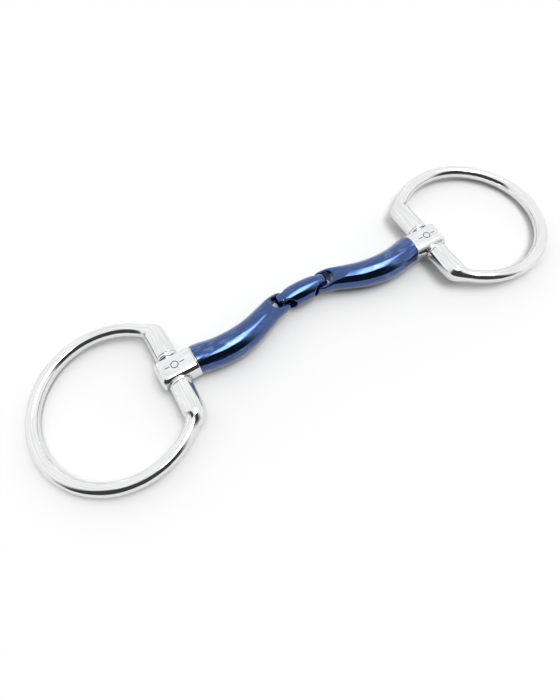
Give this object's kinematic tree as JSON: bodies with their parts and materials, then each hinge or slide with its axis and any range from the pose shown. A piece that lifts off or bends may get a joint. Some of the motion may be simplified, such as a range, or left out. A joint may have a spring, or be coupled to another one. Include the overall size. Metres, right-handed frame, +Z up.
{
  "type": "snaffle bit",
  "caption": "Double-jointed eggbutt snaffle bit: curved blued cannons and an oval centre link between steel butt sleeves that turn on the bars of fixed-shape cheek rings.",
  "frame": {"origin": "middle of the bit on the surface that it lies on", "axes": "+X along the mouthpiece to the right ring, +Y across it along the ring bars, +Z up"},
  "size_m": [0.2662, 0.076, 0.0136],
  "materials": {
    "polished_steel": "mirror polished stainless steel",
    "pin_steel": "ground stainless steel pin",
    "blued_metal": "glossy heat-blued metal"
  },
  "bodies": {
    "link": {"center_link": "blued_metal"},
    "left_arm": {"left_cannon": "blued_metal", "left_butt_sleeve": "polished_steel"},
    "left_cheek": {"left_cheek_ring": "polished_steel", "left_hinge_pin": "pin_steel"},
    "right_arm": {"right_cannon": "blued_metal", "right_butt_sleeve": "polished_steel"},
    "right_cheek": {"right_cheek_ring": "polished_steel", "right_hinge_pin": "pin_steel"}
  },
  "joints": [
    {"name": "left_fold", "type": "hinge", "parent": "link", "child": "left_arm", "pos_m": [-0.00815, 0.00638, 0.0068], "axis": [0.1392, -0.9903, 0], "range_deg": [-45, 35]},
    {"name": "right_fold", "type": "hinge", "parent": "link", "child": "right_arm", "pos_m": [0.00815, 0.00638, 0.0068], "axis": [0.1392, 0.9903, 0], "range_deg": [-45, 35]},
    {"name": "left_ring_swing", "type": "hinge", "parent": "left_arm", "child": "left_cheek", "pos_m": [-0.0675, 0, 0.0068], "axis": [0, -1, 0], "range_deg": [-90, 90]},
    {"name": "right_ring_swing", "type": "hinge", "parent": "right_arm", "child": "right_cheek", "pos_m": [0.0675, 0, 0.0068], "axis": [0, 1, 0], "range_deg": [-90, 90]}
  ]
}
